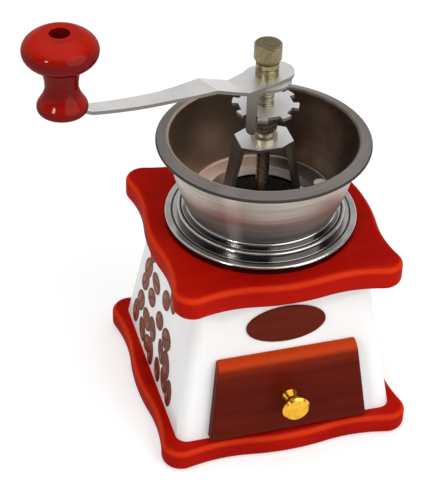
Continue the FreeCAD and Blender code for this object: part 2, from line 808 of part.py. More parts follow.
def crank_arm():
    body = new_body("crank_arm")
    side = new_sketch(body, "arm_side", "XZ_Plane")
    shoulder = f"({ARM} + arm_shoulder_rise)"
    end = "(crank_length + arm_eye)"
    line = [("-arm_tail", ARM), ("arm_bend", ARM), ("arm_shoulder", shoulder),
            ("crank_length - arm_end", f"{shoulder} + arm_end_rise"),
            ("crank_length - arm_pad", PAD), (end, PAD)]
    lower = list(line)
    lower[3] = (*line[3], "arm_sag")
    upper = [(x, f"{z} + arm_sheet") for x, z in reversed(line)]
    upper[3] = (*upper[3], "-arm_sag")
    draw(side, lower + upper)
    pad(body, side, "4 * arm_hub_half", "arm_strip", symmetric=True)
    plan = new_sketch(body, "arm_plan", "XY_Plane")
    far = "(crank_length + 4 * arm_hub_half)"
    draw_box(plan, f"-{far}", "-3 * arm_hub_half", far, "3 * arm_hub_half")
    eye_in = "((arm_eye^2 - arm_pad_half^2)^0.5)"
    outline = [("-arm_tail + arm_hub_half", "-arm_hub_half", "arm_hub_half + 0.01"), ("0", "-arm_hub_half"),
             ("arm_bend", "-arm_bend_half"), ("arm_shoulder", "-arm_shoulder_half"),
             ("arm_slim_at", "-arm_slim_half"), (f"crank_length - {eye_in}", "-arm_pad_half"),
             (end, "0", "arm_eye"), (f"crank_length - {eye_in}", "arm_pad_half", "arm_eye"),
             ("arm_slim_at", "arm_slim_half"), ("arm_shoulder", "arm_shoulder_half"),
             ("arm_bend", "arm_bend_half"), ("0", "arm_hub_half"),
             ("-arm_tail + arm_hub_half", "arm_hub_half")]
    draw(plan, outline)
    cut(body, plan, "arm_trim")
    square_hole(body, "arm_square", "0")
    eye = new_sketch(body, "arm_eye_hole", "XY_Plane")
    draw_circle(eye, "crank_length", "0", "pin_radius")
    cut(body, eye, "arm_eye_cut")
    place(body, turn="crank_angle")


def cap_nut():
    neck_top = f"({ARM_TOP} + cap_neck_height)"
    groove = f"({ARM_TOP} + cap_neck_height / 2)"
    top = f"({neck_top} + cap_height)"
    turned("cap_nut", [
        ("cap_thread", ARM_TOP), ("cap_neck", ARM_TOP), ("cap_neck", f"{groove} - 0.8"),
        ("cap_groove", groove), ("cap_neck", f"{groove} + 0.8"), ("cap_neck", f"{neck_top} - 1.2"),
        ("cap_groove", f"{neck_top} - 0.6"), ("cap_groove", neck_top),
        ("cap_radius - 0.8", neck_top), ("cap_radius", f"{neck_top} + 1.2"),
        ("cap_radius", f"{top} - 0.6"), ("cap_radius - 0.6", top), ("0", top),
        ("0", f"{ARM_TOP} + cap_thread_depth"), ("cap_thread", f"{ARM_TOP} + cap_thread_depth")])


KNOB_X = "crank_length * cos(crank_angle * 1 deg)"
KNOB_Y = "crank_length * sin(crank_angle * 1 deg)"
KNOB_TOP = f"({KNOB} + knob_head_at + knob_head_half * sin(knob_crown * 1 deg))"
PIN_TOP = f"({KNOB_TOP} - knob_hole_depth)"


def oval(wide, tall, height, angles):
    """Corners along an upright oval, each led to by an arc of the oval's own curvature."""
    corners = []
    for i, angle in enumerate(angles):
        x = f"{wide} * cos(({angle}) * 1 deg)"
        z = f"{height} + {tall} * sin(({angle}) * 1 deg)"
        if not i:
            corners.append((x, z))
            continue
        middle = f"(({angles[i - 1]} + {angle}) / 2 * 1 deg)"
        bend = f"((({wide} * sin({middle}))^2 + ({tall} * cos({middle}))^2)^1.5 / ({wide} * {tall}))"
        corners.append((x, z, bend))
    return corners


def knob_set():
    washer = turned("knob_washer", [
        ("pin_radius", PAD_TOP), ("knob_washer_radius", PAD_TOP),
        ("knob_washer_radius", f"{PAD_TOP} + knob_washer_thick"),
        ("pin_radius", f"{PAD_TOP} + knob_washer_thick")])
    rivet = f"({PAD} - pin_rivet_height)"
    pin = turned("knob_pin", [
        ("0", rivet), ("pin_rivet_radius - 0.4", rivet), ("pin_rivet_radius", PAD), ("pin_radius", PAD),
        ("pin_radius", f"{PIN_TOP} + seat_gap"), ("pin_head_radius", f"{PIN_TOP} + seat_gap"),
        ("pin_head_radius", f"{PIN_TOP} + seat_gap + pin_head_height / 2"),
        ("0", f"{PIN_TOP} + seat_gap + pin_head_height", dome("pin_head_radius", "pin_head_height / 2"))])
    bore = "pin_radius + run_fit"
    bead = f"({KNOB} + knob_bead_at)"
    neck = f"({KNOB} + knob_neck_at)"
    head = oval("knob_radius", "knob_head_half", f"({KNOB} + knob_head_at)",
                ["knob_under", "knob_under / 2", "0", "knob_crown / 2", "knob_crown"])
    knob = turned("crank_knob", [
        (bore, KNOB), ("knob_base - 1.1", KNOB), ("knob_base", bead, "2.6"),
        ("knob_base - 0.8", f"{bead} + 2.7", "4.5"), ("knob_base - 1.2", f"{bead} + 3.3"),
        ("knob_neck", neck, "-16"), ("knob_neck + 1.1", f"{neck} + 7.6", "-28"),
        *head, ("knob_hole", KNOB_TOP), ("knob_hole", PIN_TOP), (bore, PIN_TOP)])
    for body in (washer, pin, knob):
        place(body, x=KNOB_X, y=KNOB_Y)


def hopper_screws():
    seat = f"({FLOOR} + bridge_sheet)"
    tip = f"({DECK} - screw_bite + seat_gap)"
    screws = []
    for i, x in enumerate(SCREWS):
        head = cylinder(f"screw_head_{i}", "screw_head_radius", "screw_head_height", x, "0", seat)
        shank = cylinder(f"screw_shank_{i}", "screw_radius", f"{seat} - {tip}", x, "0", tip)
        screws.append(fused(f"hopper_screw_{i}", [head, shank]))
    fasteners("hopper_screws", screws)


def plaque():
    body = new_body("badge_plaque")
    sketch = new_sketch(body, "plaque_outline", "XY_Plane")
    index = sketch.addGeometry(Part.Ellipse(FreeCAD.Vector(0, 0, 0), size("plaque_half_width"),
                                            size("plaque_half_height")))
    sketch.exposeInternalGeometry(index)
    sketch.addConstraint(Sketcher.Constraint("Coincident", index, 3, -1, 1))
    sketch.addConstraint(Sketcher.Constraint("Horizontal", index + 1))
    hold(sketch, "Distance", "2 * plaque_half_width", index + 1)
    hold(sketch, "Distance", "2 * plaque_half_height", index + 2)
    pad(body, sketch, "plaque_thick", "plaque_board")
    round_edges(body, "plaque_thick * 0.4", lambda e: flat(e, size("plaque_thick")), "plaque_edge")
    height = f"({BASE_TOP} + plaque_height)"
    place(body, y=face_y(height), z=height, turn=f"90 - atan({SLOPE}) / 1 deg", axis=(1, 0, 0))


def drawer_front():
    body = new_body("drawer_front")
    profile = new_sketch(body, "front_side", "YZ_Plane")

    def at(z, proud):
        return f"({face_y(z)} - drawer_gap - {proud})"

    shoulder = f"({FRONT_HIGH} - front_round)"
    heel = f"({FRONT_LOW} + front_edge)"
    draw(profile, [
        (at(FRONT_LOW, "0"), FRONT_LOW),
        (at(FRONT_HIGH, "0"), FRONT_HIGH),
        (at(FRONT_HIGH, "front_thick - front_round"), FRONT_HIGH),
        (at(shoulder, "front_thick"), shoulder, "front_round * 1.02"),
        (at(heel, "front_thick"), heel),
        (at(FRONT_LOW, "front_thick - front_edge"), FRONT_LOW)])
    pad(body, profile, "2 * front_foot", "front_block", symmetric=True)
    outline = new_sketch(body, "front_outline", "XZ_Plane")
    out = "(front_foot + front_thick)"
    draw_box(outline, f"-{out}", f"{FRONT_LOW} - front_thick", out, f"{FRONT_HIGH} + front_thick")
    draw(outline, [("-front_foot", FRONT_LOW), ("front_foot", FRONT_LOW), ("front_head", FRONT_HIGH),
                   ("-front_head", FRONT_HIGH)])
    cut(body, outline, "front_taper")
    lip = at(FRONT_LOW, "front_thick")
    for side, sign in (("left", -1), ("right", 1)):
        corner = new_sketch(body, f"front_{side}_corner", "XY_Plane")
        raise_sketch(corner, FRONT_LOW)
        outside = f"{sign} * (front_foot + front_side_inset)"
        inside = f"{sign} * (front_foot - front_side_inset)"
        draw(corner, [(inside, lip), (f"{sign} * front_foot", f"{lip} + front_side_depth"),
                      (outside, f"{lip} + front_side_depth"), (outside, f"{lip} - front_side_inset"),
                      (inside, f"{lip} - front_side_inset")])
        way = (f"{sign} * (front_head - front_foot)", f"front_height * {SLOPE}", "front_height")
        cut(body, corner, f"front_{side}_bevel", along=way)
    hole = new_sketch(body, "front_screw_hole", "XZ_Plane")
    draw_circle(hole, "0", PULL, "pull_screw_radius")
    cut(body, hole, "front_screw_bore")


def board(name, low, high):
    """A plain board between two corners."""
    box = doc.addObject("Part::Box", name)
    for side, axis, start, end in zip(("Length", "Width", "Height"), "xyz", low, high):
        box.setExpression(side, bound(f"({end}) - ({start})"))
        box.setExpression(f"Placement.Base.{axis}", bound(start))
    box.Label = name
    doc.recompute()
    return box


def side_board(name, sign):
    body = new_body(name)
    sketch = new_sketch(body, name + "_side", "YZ_Plane")
    raise_sketch(sketch, "drawer_half - drawer_board" if sign > 0 else "-drawer_half")
    draw(sketch, [(f"{face_y(BOX_LOW)} - drawer_gap", BOX_LOW), ("drawer_back_at", BOX_LOW),
                  ("drawer_back_at", BOX_HIGH), (f"{face_y(BOX_HIGH)} - drawer_gap", BOX_HIGH)])
    pad(body, sketch, "drawer_board", name + "_board")


def drawer_box():
    side_board("drawer_left_side", -1)
    side_board("drawer_right_side", 1)
    inner = "(drawer_half - drawer_board)"
    board("drawer_back", (f"-{inner}", "drawer_back_at - drawer_board", BOX_LOW),
          (inner, "drawer_back_at", BOX_HIGH))
    body = new_body("drawer_bottom")
    sketch = new_sketch(body, "bottom_side", "YZ_Plane")
    floor = f"({BOX_LOW} + drawer_board)"
    back = "drawer_back_at - drawer_board"
    draw(sketch, [(f"{face_y(FRONT_LOW)} - drawer_gap", BOX_LOW), (back, BOX_LOW),
                  (back, floor), (f"{face_y(floor)} - drawer_gap", floor),
                  (f"{face_y(FRONT_LOW)} - drawer_gap", FRONT_LOW)])
    pad(body, sketch, f"2 * {inner}", "bottom_board", symmetric=True)


FRONT_FACE = f"({face_y(PULL)} - drawer_gap - front_thick)"


def drawer_pull():
    lean = f"(pull_base * {SLOPE})"
    knob = turned("drawer_knob", [
        ("0", f"-{lean}"), ("pull_base", f"-{lean}"), ("pull_base", f"{lean} + 0.8"),
        ("pull_neck", "pull_length * 0.35"), ("pull_neck", "pull_length * 0.5"),
        ("pull_radius", "pull_length * 0.78", "-pull_length * 0.7"), ("pull_radius", "pull_length * 0.88"),
        ("pull_radius * 0.86", "pull_length * 0.97"),
        ("0", "pull_length", dome("pull_radius * 0.86", "pull_length * 0.03"))])
    seat = new_sketch(knob, "pull_seat", "YZ_Plane")
    draw(seat, [("-2 * pull_base", f"2 * {lean}"), ("-2 * pull_base", "-pull_base"),
                ("2 * pull_base", "-pull_base"), ("2 * pull_base", f"-2 * {lean}")])
    cut(knob, seat, "pull_slant")
    base = new_sketch(knob, "pull_screw_hole", "XY_Plane")
    raise_sketch(base, "-pull_base")
    draw_circle(base, "0", "0", "pull_screw_radius")
    cut(knob, base, "pull_screw_bore", "pull_base + pull_screw_bite", upward=True)
    place(knob, y=FRONT_FACE, z=PULL, turn="90", axis=(1, 0, 0))
    head = f"(-front_thick - 2 - 2 * pull_screw_radius * {SLOPE})"
    screw = turned("drawer_knob_screw", [
        ("0", head), ("pull_screw_radius * 2", head), ("pull_screw_radius * 2", f"{head} + 2"),
        ("pull_screw_radius", f"{head} + 2"), ("pull_screw_radius", "pull_screw_bite - seat_gap"),
        ("0", "pull_screw_bite - seat_gap")])
    place(screw, y=FRONT_FACE, z=PULL, turn="90", axis=(1, 0, 0))


def drawer_guides():
    inner = "(drawer_half + drawer_gap)"
    outer = f"({inner} + guide_width)"
    rail = f"({BASE_TOP} + guide_height)"
    board("drawer_left_guide", (f"-{outer}", "-guide_length / 2", BASE_TOP),
          (f"-{inner}", "guide_length / 2", rail))
    board("drawer_right_guide", (inner, "-guide_length / 2", BASE_TOP),
          (outer, "guide_length / 2", rail))


base_plate()
ceramic_body()
top_plate()
tie_bolts()
collar()
bowl()
bridge()
hopper_screws()
bush()
housing()
outer_burr()
inner_burr()
burr_fastening()
spindle()
adjuster()
lock_clip()
crank_arm()
cap_nut()
knob_set()
plaque()
drawer_front()
drawer_box()
drawer_pull()
drawer_guides()

NODES = [
    "base_plate", "ceramic_body", "top_plate", "tie_bolts", "hopper_collar", "hopper_bowl",
    "bridge_bracket", "hopper_screws", "bearing_bush", "burr_housing", "outer_burr", "badge_plaque",
    "drawer_left_guide", "drawer_right_guide", "adjuster_hub", "adjusting_wheel", "spindle", "inner_burr",
    "burr_washer", "burr_nut", "lock_clip", "crank_arm", "cap_nut", "knob_washer", "knob_pin", "crank_knob",
    "drawer_front", "drawer_left_side", "drawer_right_side", "drawer_back", "drawer_bottom", "drawer_knob",
    "drawer_knob_screw"]

doc.recompute()
for item in doc.Objects:
    if "Invalid" in item.State or "Error" in item.State:
        raise RuntimeError(f"{item.Label} did not build: {item.State}")
for node in NODES:
    shape = doc.getObject(node).Shape
    if shape.isNull() or not shape.isValid():
        raise RuntimeError(f"{node} has no valid shape")
os.makedirs("parts", exist_ok=True)
for node in NODES:
    shape = doc.getObject(node).Shape
    shape.exportStep(f"parts/{node}.step")
    box = shape.BoundBox
    print(f"{node:20s} solids {len(shape.Solids)} volume {shape.Volume:10.1f}  "
          f"x {box.XMin:7.1f} {box.XMax:7.1f}  y {box.YMin:7.1f} {box.YMax:7.1f}  "
          f"z {box.ZMin:7.1f} {box.ZMax:7.1f}")
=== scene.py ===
# %% [markdown]
# # Dressing a hand coffee mill
# The solids of the mill come from a CAD program and have the right size and, but for the drawer's
# front, the right shape. This lesson loads them, gives every surface a finish made of shader
# nodes, makes the drawer's front anew, adds a thin print that belongs to the looks alone, and
# sets up a small studio.

# %% Load the solids
import bmesh
import bpy
import math
import random
from mathutils import Matrix, Vector


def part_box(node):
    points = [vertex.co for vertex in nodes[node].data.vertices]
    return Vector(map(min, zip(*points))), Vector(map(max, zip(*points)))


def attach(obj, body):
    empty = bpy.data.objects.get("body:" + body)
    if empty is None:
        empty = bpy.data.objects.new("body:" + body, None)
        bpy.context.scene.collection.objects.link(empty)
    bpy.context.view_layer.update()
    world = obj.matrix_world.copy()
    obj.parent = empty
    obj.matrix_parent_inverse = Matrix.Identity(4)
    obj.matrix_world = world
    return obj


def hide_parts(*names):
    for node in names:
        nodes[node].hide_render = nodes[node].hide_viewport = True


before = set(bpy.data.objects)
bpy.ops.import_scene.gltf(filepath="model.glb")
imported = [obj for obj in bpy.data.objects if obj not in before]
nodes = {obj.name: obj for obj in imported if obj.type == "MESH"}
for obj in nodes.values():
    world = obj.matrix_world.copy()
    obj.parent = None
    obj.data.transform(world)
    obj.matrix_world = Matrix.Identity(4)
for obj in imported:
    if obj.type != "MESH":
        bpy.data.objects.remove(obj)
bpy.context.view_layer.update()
print("solids loaded:", len(nodes))

# %% [markdown]
# ## A short way to write shader maths
# A finish is a graph of nodes, and a formula such as `1 - mask * 0.3` needs several of them. The
# class below wraps one socket, so that ordinary Python arithmetic adds the Math nodes. Its method
# `add` makes any other kind of node: settings first, then the values or links of its sockets.

# %% The wire class
class Wire:
    """A socket in a shader tree that can be used in arithmetic."""

    def __init__(self, socket):
        self.socket = socket
        self.tree = socket.id_data

    def add(self, kind, settings=None, inputs=None, out=0):
        node = self.tree.nodes.new("ShaderNode" + kind)
        for key, value in (settings or {}).items():
            setattr(node, key, value)
        for key, value in (inputs or {}).items():
            if isinstance(value, Wire):
                self.tree.links.new(value.socket, node.inputs[key])
            else:
                node.inputs[key].default_value = value
        return Wire(node.outputs[out])

    def math(self, operation, *others):
        return self.add("Math", {"operation": operation}, dict(enumerate((self, *others))))

    def __add__(self, other):
        return self.math("ADD", other)

    __radd__ = __add__

    def __mul__(self, other):
        return self.math("MULTIPLY", other)

    __rmul__ = __mul__

    def __sub__(self, other):
        return self.math("SUBTRACT", other)

    def __rsub__(self, other):
        return (self * -1).math("ADD", other)

    def step(self, low, high):
        """0 below low, 1 above high, and a smooth rise between."""
        return self.add("MapRange", {"interpolation_type": "SMOOTHSTEP"},
                        {"Value": self, "From Min": low, "From Max": high})

    def tint(self, dark, light):
        """A colour between two, by this value."""
        first, second = (end if isinstance(end, Wire) else (*end, 1) for end in (dark, light))
        settings = {"data_type": "RGBA", "clamp_factor": True}
        return self.add("Mix", settings, {"Factor": self, "A": first, "B": second}, "Result")


# %% [markdown]
# ## A finish and its coordinates
# Every finish here starts from one Principled shader and the object's own coordinates, in metres,
# so that a pattern has the size it has on the real mill and stays put when a piece moves. Two
# short helpers follow: one turns a bmesh into an object, the other puts a finish on solids by
# name.

# %% Start a finish
class Finish:
    """A material with its shader, its coordinates and a few shared patterns."""

    def __init__(self, name, **constants):
        self.material = bpy.data.materials.new(name)
        self.material.use_nodes = True
        self.tree = self.material.node_tree
        self.shader = self.tree.nodes["Principled BSDF"]
        for key, value in constants.items():
            self.shader.inputs[key.replace("_", " ")].default_value = value
        source = self.tree.nodes.new("ShaderNodeTexCoord")
        self.place = Wire(source.outputs["Object"])
        self.print_place = Wire(source.outputs["UV"])
        self.x, self.y, self.z = self.parts(self.place)
        self.face_x, self.face_y, self.face_z = self.parts(Wire(source.outputs["Normal"]))

    def parts(self, vector):
        """The three numbers of a vector."""
        node = vector.add("SeparateXYZ", None, {0: vector}).socket.node
        return [Wire(output) for output in node.outputs]

    def stretched(self, x, y, z, x_from=None, y_from=None, z_from=None):
        """Coordinates scaled on each axis."""
        parts = {0: (x_from or self.x) * x, 1: (y_from or self.y) * y, 2: (z_from or self.z) * z}
        return self.place.add("CombineXYZ", None, parts)

    def noise(self, vector, scale, detail=3.0, rough=0.55):
        inputs = {"Vector": vector, "Scale": scale, "Detail": detail, "Roughness": rough}
        return self.place.add("TexNoise", None, inputs)

    def round_about(self):
        """Distance from the vertical axis, and the angle round it."""
        radius = (self.x * self.x + self.y * self.y).math("SQRT")
        return radius, self.y.math("ARCTAN2", self.x)

    def feed(self, socket, wire):
        self.tree.links.new(wire.socket, self.shader.inputs[socket])

    def relief(self, height, depth):
        """Bump the surface by a height in metres."""
        bump = self.place.add("Bump", None, {"Strength": 1.0, "Distance": depth, "Height": height})
        self.feed("Normal", bump)


def new_piece(name, mesh):
    """An object at the origin, made from a finished bmesh."""
    data = bpy.data.meshes.new(name)
    mesh.to_mesh(data)
    mesh.free()
    piece = bpy.data.objects.new(name, data)
    bpy.context.scene.collection.objects.link(piece)
    return piece


def wear(finish, *names):
    """Put a finish on CAD nodes."""
    for name in names:
        solid = nodes[name]
        solid.data.materials.clear()
        solid.data.materials.append(finish.material)
    print(finish.material.name, "on", ", ".join(names))


# %% [markdown]
# ## Red lacquer
# The two boards and the hand knob are wood under thick red lacquer. The red is deep, with a soft
# sheen and a faint orange-peel ripple. A mask of how far the surface leans towards the sky mixes a
# warmer, lighter red into rounded edges. That red is partly lacquer that ran thin there and partly
# a painted highlight of the light from above. On the boards the flat tops keep the deep red; on the
# knob the whole upward-facing crown gets the lighter red, a painted highlight.

# %% Red lacquer on the boards and the knob
def lacquer(name, deep, bright, thin_and_lit_red, rise, flat_cover, gloss):
    """Thick red lacquer, lighter red on rounded edges where it is thinner and where a highlight is
    painted.
    """
    finish = Finish(name, Specular_IOR_Level=0.0, Coat_Weight=gloss, Coat_Roughness=0.1)
    clouds = finish.noise(finish.place, 28.0, 2.0)
    streaks = finish.noise(finish.stretched(9, 90, 90), 1.0, 3.0)
    body = (clouds * 0.6 + streaks * 0.4).step(0.25, 0.75).tint(deep, bright)
    # The lighter red on rounded edges is partly lacquer run thin and partly a painted highlight of
    # the light from above.
    thin_and_lit_edge = finish.face_z.step(*rise) * (1 - finish.face_z.step(0.72, 0.97) * flat_cover)
    finish.feed("Base Color", (thin_and_lit_edge * (clouds * 0.6 + 0.2)).tint(body, thin_and_lit_red))
    finish.feed("Roughness", finish.noise(finish.place, 60.0) * 0.12 + 0.27)
    finish.relief(finish.noise(finish.place, 220.0, 1.0), 0.0001)
    return finish


wear(lacquer("board_red", (0.30, 0.003, 0.001), (0.44, 0.007, 0.0015), (0.72, 0.048, 0.004),
             (0.0, 0.5), 1.0, 0.08), "base_plate", "top_plate")
# On the knob flat faces are not kept deep, so its whole upward-facing top gets the lighter red: a
# painted highlight.
wear(lacquer("knob_red", (0.12, 0.001, 0.0005), (0.17, 0.002, 0.001), (0.66, 0.020, 0.006),
             (0.1, 0.95), 0.0, 0.2), "crank_knob")

# %% [markdown]
# ## White glaze
# The body is a ceramic shell under a clear white glaze: nearly flat colour, a slight cool and
# warm drift, a hard gloss, and pinholes too small to see except as a soft unevenness in the
# highlight.

# %% White glaze
glaze = Finish("white_glaze", Specular_IOR_Level=0.4, Coat_Weight=0.3, Coat_Roughness=0.06)
drift = glaze.noise(glaze.place, 16.0, 2.0)
glaze.feed("Base Color", drift.step(0.3, 0.7).tint((0.80, 0.79, 0.78), (0.86, 0.86, 0.86)))
glaze.feed("Roughness", glaze.noise(glaze.place, 80.0) * 0.1 + 0.2)
glaze.relief(glaze.noise(glaze.place, 120.0, 2.0), 0.00008)
wear(glaze, "ceramic_body")

# %% [markdown]
# ## Stained wood
# The drawer's front is stained so dark that the grain only shows as long streaks. Grain is noise
# that is squeezed across the fibres and stretched along them, here along X. The rounded top edge
# and a band near the top of the face are painted a warm light orange with grain in it: a painted
# highlight of the light from above. The oval plaque is the same wood, a little redder, and the bare
# boards inside the drawer use the same recipe with pale colours.

# %% Stained and bare wood
def grain(name, dark, light, along, gloss, **constants):
    """Wood whose fibres run along one axis."""
    finish = Finish(name, **constants)
    sizes = [260.0, 260.0, 260.0]
    sizes[along] = 14.0
    bands = finish.noise(finish.stretched(*sizes), 1.0, 5.0, 0.62)
    pores = finish.noise(finish.stretched(*(size * 6 for size in sizes)), 1.0, 2.0)
    finish.colour = (bands * 0.8 + pores * 0.2).step(0.34, 0.68).tint(dark, light)
    finish.feed("Base Color", finish.colour)
    finish.feed("Roughness", bands * 0.15 + gloss)
    finish.relief(bands * 0.6 + pores * 0.4, 0.00015)
    return finish


stain = grain("front_stain", (0.078, 0.0055, 0.002), (0.108, 0.0085, 0.0028), 0, 0.35,
              Specular_IOR_Level=0.03, Coat_Weight=0.04, Coat_Roughness=0.15)
# Painted highlight: the rounded top edge and a band near the top of the face get a warm light
# orange, for the light from above.
LIT_TOP_HEIGHTS = (0.045, 0.056)
lit_top = stain.face_z.step(0.18, 0.75) + stain.z.step(*LIT_TOP_HEIGHTS) * 0.3
lit_top_grain = lit_top * (stain.noise(stain.stretched(20, 200, 200), 1.0) * 0.5 + 0.6)
stain.feed("Base Color", lit_top_grain.tint(stain.colour, (0.45, 0.040, 0.004)))
wear(grain("plaque_stain", (0.088, 0.010, 0.004), (0.125, 0.014, 0.006), 0, 0.3,
           Specular_IOR_Level=0.03, Coat_Weight=0.04, Coat_Roughness=0.1), "badge_plaque")
wear(grain("bare_boards_long", (0.36, 0.23, 0.12), (0.58, 0.41, 0.24), 1, 0.55),
     "drawer_left_side", "drawer_right_side", "drawer_bottom",
     "drawer_left_guide", "drawer_right_guide")
wear(grain("bare_boards_wide", (0.36, 0.23, 0.12), (0.58, 0.41, 0.24), 0, 0.55), "drawer_back")

# %% [markdown]
# ## Drawer front
# The front of the drawer leans with the wall of the body and narrows upwards. A joiner saws such
# a block first, then rounds its top edge over with a cutter, eases both sides and barely touches
# the foot. The solid has a lip and a toe that the real board lacks, so a new board takes its
# place. The joiner's order works here too: four corners make the back, an extrusion gives the
# thickness, and one bevel after another runs along the front edges. The faces of the bevels alone
# are shaded smooth.

# %% Shape the drawer front
FOOT_WIDE, FOOT_BACK, FOOT_HIGH = 0.0414, -0.05693, 0.0148
HEAD_WIDE, HEAD_BACK, HEAD_HIGH = 0.0362, -0.05010, 0.0578
BOARD_THICK = 0.0052
TOP_ROUND, SIDE_ROUND, FOOT_ROUND = 0.0050, 0.0028, 0.0012


def ease(mesh, edges, offset, segments):
    """Round edges over and shade the new faces smooth."""
    made = bmesh.ops.bevel(mesh, geom=edges, offset=offset, offset_type="OFFSET", segments=segments,
                           profile=0.5, affect="EDGES", clamp_overlap=True, material=-1)
    for face in made["faces"]:
        face.smooth = True


def edges_between(mesh, first, second):
    """Edges with one face that passes the first test and another that passes the second."""
    mesh.normal_update()
    found = []
    for thin_and_lit_edge in mesh.edges:
        one, other = (face.normal for face in thin_and_lit_edge.link_faces)
        if (first(one) and second(other)) or (first(other) and second(one)):
            found.append(thin_and_lit_edge)
    return found


board_mesh = bmesh.new()
outline = ((-FOOT_WIDE, FOOT_BACK, FOOT_HIGH), (FOOT_WIDE, FOOT_BACK, FOOT_HIGH),
           (HEAD_WIDE, HEAD_BACK, HEAD_HIGH), (-HEAD_WIDE, HEAD_BACK, HEAD_HIGH))
back_face = board_mesh.faces.new([board_mesh.verts.new(corner) for corner in outline])
grown = bmesh.ops.extrude_face_region(board_mesh, geom=[back_face])["geom"]
front_corners = [item for item in grown if isinstance(item, bmesh.types.BMVert)]
bmesh.ops.translate(board_mesh, vec=(0, -BOARD_THICK, 0), verts=front_corners)
bmesh.ops.recalc_face_normals(board_mesh, faces=board_mesh.faces)
top_edge = edges_between(board_mesh, lambda n: n.z > 0.9, lambda n: n.y < -0.9)
ease(board_mesh, top_edge, TOP_ROUND, 10)
side_edges = edges_between(board_mesh, lambda n: abs(n.x) > 0.9,
                           lambda n: n.z > -0.5 and n.y < 0.5)
ease(board_mesh, side_edges, SIDE_ROUND, 5)
foot_edge = edges_between(board_mesh, lambda n: n.z < -0.9, lambda n: n.y < -0.3)
ease(board_mesh, foot_edge, FOOT_ROUND, 3)
bmesh.ops.remove_doubles(board_mesh, verts=board_mesh.verts, dist=1e-6)
bmesh.ops.recalc_face_normals(board_mesh, faces=board_mesh.faces)
rounded_front = new_piece("rounded_front", board_mesh)
rounded_front.data.materials.append(stain.material)
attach(rounded_front, "drawer")
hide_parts("drawer_front")
print("drawer front faces:", len(rounded_front.data.polygons))

# %% [markdown]
# ## Spun steel
# The hopper was spun on a lathe and brushed while turning, so its fine lines run round the axis.
# Noise read by radius and height, and hardly at all by angle, draws just such lines. Inside, where
# the surface faces the axis, a blotchy brown is painted in, light on the left and dark on the
# right: painted light and shade. The floor of the bowl is painted light on the left and dark on the
# right too. Outside, the colour darkens towards the foot, and one narrow upright streak is painted
# light: a painted highlight.

# %% Spun steel on the hopper
FLOOR_BELOW, FOOT_FADE = (0.125, 0.13), (0.116, 0.138)
RIM_FROM, LIP_FROM = (0.0473, 0.0479), (0.0523, 0.0527)
# Angle round the axis of a painted highlight: a narrow upright light streak on the outside.
STREAK_HIGHLIGHT_ANGLE = math.radians(-126)
steel = Finish("spun_steel", Metallic=1.0, Anisotropic=0.75)
radius, angle = steel.round_about()
lines = steel.noise(steel.stretched(1500, 0.9, 1500, radius, angle), 1.0, 3.0, 0.7)
broad = steel.noise(steel.stretched(120, 0.7, 120, radius, angle), 1.0, 3.0)
outward = steel.face_x * steel.x + steel.face_y * steel.y
inside = 1 - outward.step(-0.004, 0.004)
inside_blotches = inside * (steel.noise(steel.place, 26.0, 4.0).step(0.3, 0.75) * 0.5 + 0.5)
clean = (lines * 0.6 + broad * 0.4).step(0.3, 0.7).tint((0.31, 0.29, 0.255), (0.59, 0.555, 0.495))
floor_mask = steel.face_z.step(0.85, 0.97) * (1 - steel.z.step(*FLOOR_BELOW))
rim = radius.step(*RIM_FROM)
lip = radius.step(*LIP_FROM)
# Painted light and shade inside: a lighter brown on the left, a dark brown on the right.
inside_light_and_shade = steel.x.step(-0.018, 0.018).tint((0.50, 0.345, 0.27), (0.07, 0.05, 0.04))
# Painted highlight: a narrow upright light streak on the outside of the hopper.
streak_highlight = (1 - inside) * (1 - (angle - STREAK_HIGHLIGHT_ANGLE).math("ABSOLUTE").step(0.02, 0.14))
foot = (1 - inside) * (1 - steel.z.step(*FOOT_FADE))
outer = (streak_highlight * 0.3).tint((foot * 0.75).tint(clean, (0.10, 0.078, 0.066)), (0.85, 0.83, 0.82))
walls = (rim * 0.75).tint(inside_blotches.tint(outer, inside_light_and_shade), (0.15, 0.125, 0.12))
walls = lip.tint(walls, (0.05, 0.045, 0.04))
# Painted light and shade on the bowl's floor: light on the left, dark on the right.
floor_light_and_shade = steel.x.step(0.004, 0.022).tint((0.95, 0.79, 0.68), (0.16, 0.12, 0.10))
steel.feed("Base Color", floor_mask.tint(walls, floor_light_and_shade))
brushed = lines * 0.16 + broad * 0.1
steel.feed("Roughness", brushed + floor_mask * 0.3 + (1 - inside) * 0.14 + 0.22)
steel.relief(lines, 0.00005)
wear(steel, "hopper_bowl")

# %% [markdown]
# ## Bright and satin plate
# The collar is polished plating, nearly a mirror; its steep walls are painted near black, a painted
# reflection of the dark room. Bridge, star wheel, clip and crank are stamped sheet whose plating
# was only blasted, so it scatters light and looks pale grey. Their steep faces, the cut edges among
# them, are painted a darker warm grey: painted shade, and on the cut edges partly their real duller
# colour. Both share a fine haze and a few scratches, and a mask of how level the surface lies picks
# out the steep faces for that painted colour. The collar's treads also have a turned groove each,
# drawn by the distance from the axis as a bump and painted in the dark steep colour.

